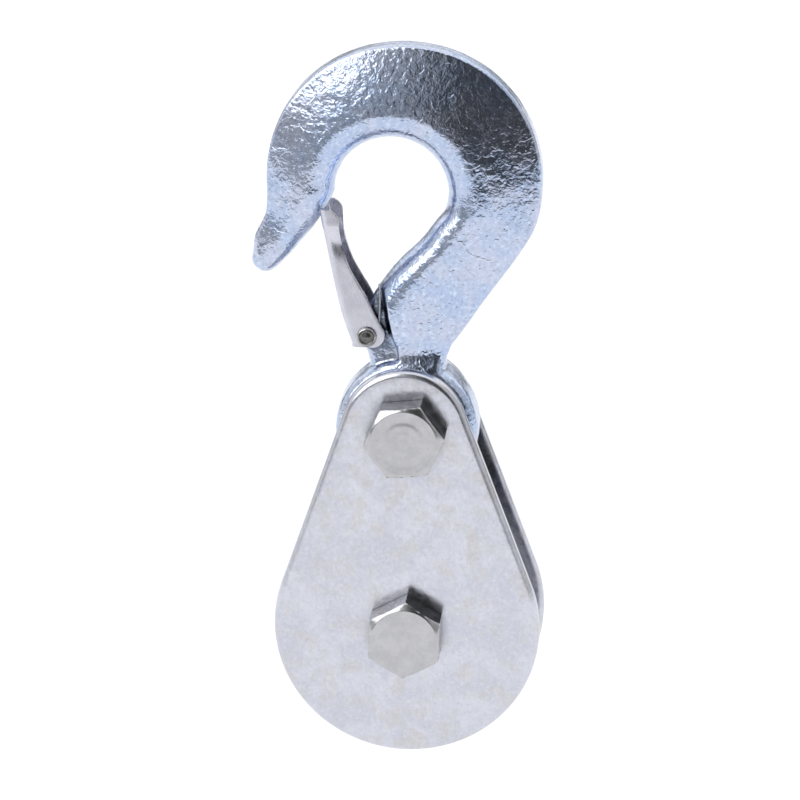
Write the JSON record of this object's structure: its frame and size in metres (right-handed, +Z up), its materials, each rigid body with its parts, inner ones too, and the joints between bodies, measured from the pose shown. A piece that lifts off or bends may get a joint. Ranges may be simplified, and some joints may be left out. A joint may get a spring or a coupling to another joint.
{
  "type": "double sheave block",
  "caption": "Small double sheave block: forged latch hook on an eye bolt, two teardrop cheek plates, two grooved wire-rope sheaves side by side on one axle bolt.",
  "frame": {"origin": "the saddle of the hook, the top of the bowl's inner edge, where the block hangs from its ring", "axes": "+Z up along the hanging block, +Y along both bolts from their heads to their nuts, +X across the cheek plates, away from the hook's tip"},
  "size_m": [0.0994, 0.0634, 0.248],
  "materials": {
    "forged_zinc": "forged steel, bright blue-white zinc plate, uneven and lightly pitted",
    "plate_zinc": "pressed steel plate, satin zinc plate with faint mottling",
    "bolt_zinc": "cold-headed steel, bright warm-grey plating",
    "stainless_sheet": "satin stainless sheet",
    "dark_steel": "dark oiled steel",
    "spring_steel": "drawn spring wire",
    "sheave_steel": "turned steel, light oil film",
    "bearing_steel": "ground bearing steel",
    "cage_brass": "pressed brass"
  },
  "bodies": {
    "hook": {"hook_body": "forged_zinc", "latch_pin": "dark_steel", "latch_spring": "spring_steel"},
    "latch": {"latch": "stainless_sheet"},
    "block": {"front_cheek_plate": "plate_zinc", "back_cheek_plate": "plate_zinc", "divider_disc": "plate_zinc", "hook_sleeve": "bearing_steel", "axle_sleeve": "bearing_steel", "front_spacer": "bearing_steel", "back_spacer": "bearing_steel", "front_inner_race": "bearing_steel", "back_inner_race": "bearing_steel", "hook_bolt": "bolt_zinc", "hook_bolt_washer": "plate_zinc", "hook_bolt_lock_washer": "dark_steel", "hook_bolt_nut": "bolt_zinc", "axle_bolt": "bolt_zinc", "axle_bolt_washer": "plate_zinc", "axle_bolt_lock_washer": "dark_steel", "axle_bolt_nut": "bolt_zinc"},
    "front_sheave": {"front_sheave": "sheave_steel", "front_outer_race": "bearing_steel", "front_inner_shield": "bearing_steel", "front_outer_shield": "bearing_steel"},
    "back_sheave": {"back_sheave": "sheave_steel", "back_outer_race": "bearing_steel", "back_inner_shield": "bearing_steel", "back_outer_shield": "bearing_steel"},
    "front_cage": {"front_cage": "cage_brass", "front_ball_1": "bearing_steel", "front_ball_2": "bearing_steel", "front_ball_3": "bearing_steel", "front_ball_4": "bearing_steel", "front_ball_5": "bearing_steel", "front_ball_6": "bearing_steel", "front_ball_7": "bearing_steel", "front_ball_8": "bearing_steel", "front_ball_9": "bearing_steel"},
    "back_cage": {"back_cage": "cage_brass", "back_ball_1": "bearing_steel", "back_ball_2": "bearing_steel", "back_ball_3": "bearing_steel", "back_ball_4": "bearing_steel", "back_ball_5": "bearing_steel", "back_ball_6": "bearing_steel", "back_ball_7": "bearing_steel", "back_ball_8": "bearing_steel", "back_ball_9": "bearing_steel"}
  },
  "joints": [
    {"name": "latch_hinge", "type": "hinge", "parent": "hook", "child": "latch", "pos_m": [-0.008, 0, -0.0684], "axis": [0, 1, 0], "range_deg": [0, 25], "stiffness_Nm_per_rad": 0.03, "springref_deg": -28.65, "deforming": ["latch_spring"]},
    {"name": "block_swing", "type": "hinge", "parent": "hook", "child": "block", "pos_m": [0.0059, 0, -0.1003], "axis": [0, 1, 0], "range_deg": [-90, 90]},
    {"name": "front_sheave_spin", "type": "hinge", "parent": "block", "child": "front_sheave", "pos_m": [0.0059, 0, -0.1716], "axis": [0, 1, 0], "continuous": true},
    {"name": "back_sheave_spin", "type": "hinge", "parent": "block", "child": "back_sheave", "pos_m": [0.0059, 0, -0.1716], "axis": [0, 1, 0], "continuous": true},
    {"name": "front_cage_spin", "type": "hinge", "parent": "block", "child": "front_cage", "pos_m": [0.0059, 0, -0.1716], "axis": [0, 1, 0], "continuous": true},
    {"name": "back_cage_spin", "type": "hinge", "parent": "block", "child": "back_cage", "pos_m": [0.0059, 0, -0.1716], "axis": [0, 1, 0], "continuous": true}
  ],
  "couplings": [
    {"joint": "front_cage_spin", "follows": "front_sheave_spin", "ratio": 0.5673},
    {"joint": "back_cage_spin", "follows": "back_sheave_spin", "ratio": 0.5673}
  ]
}
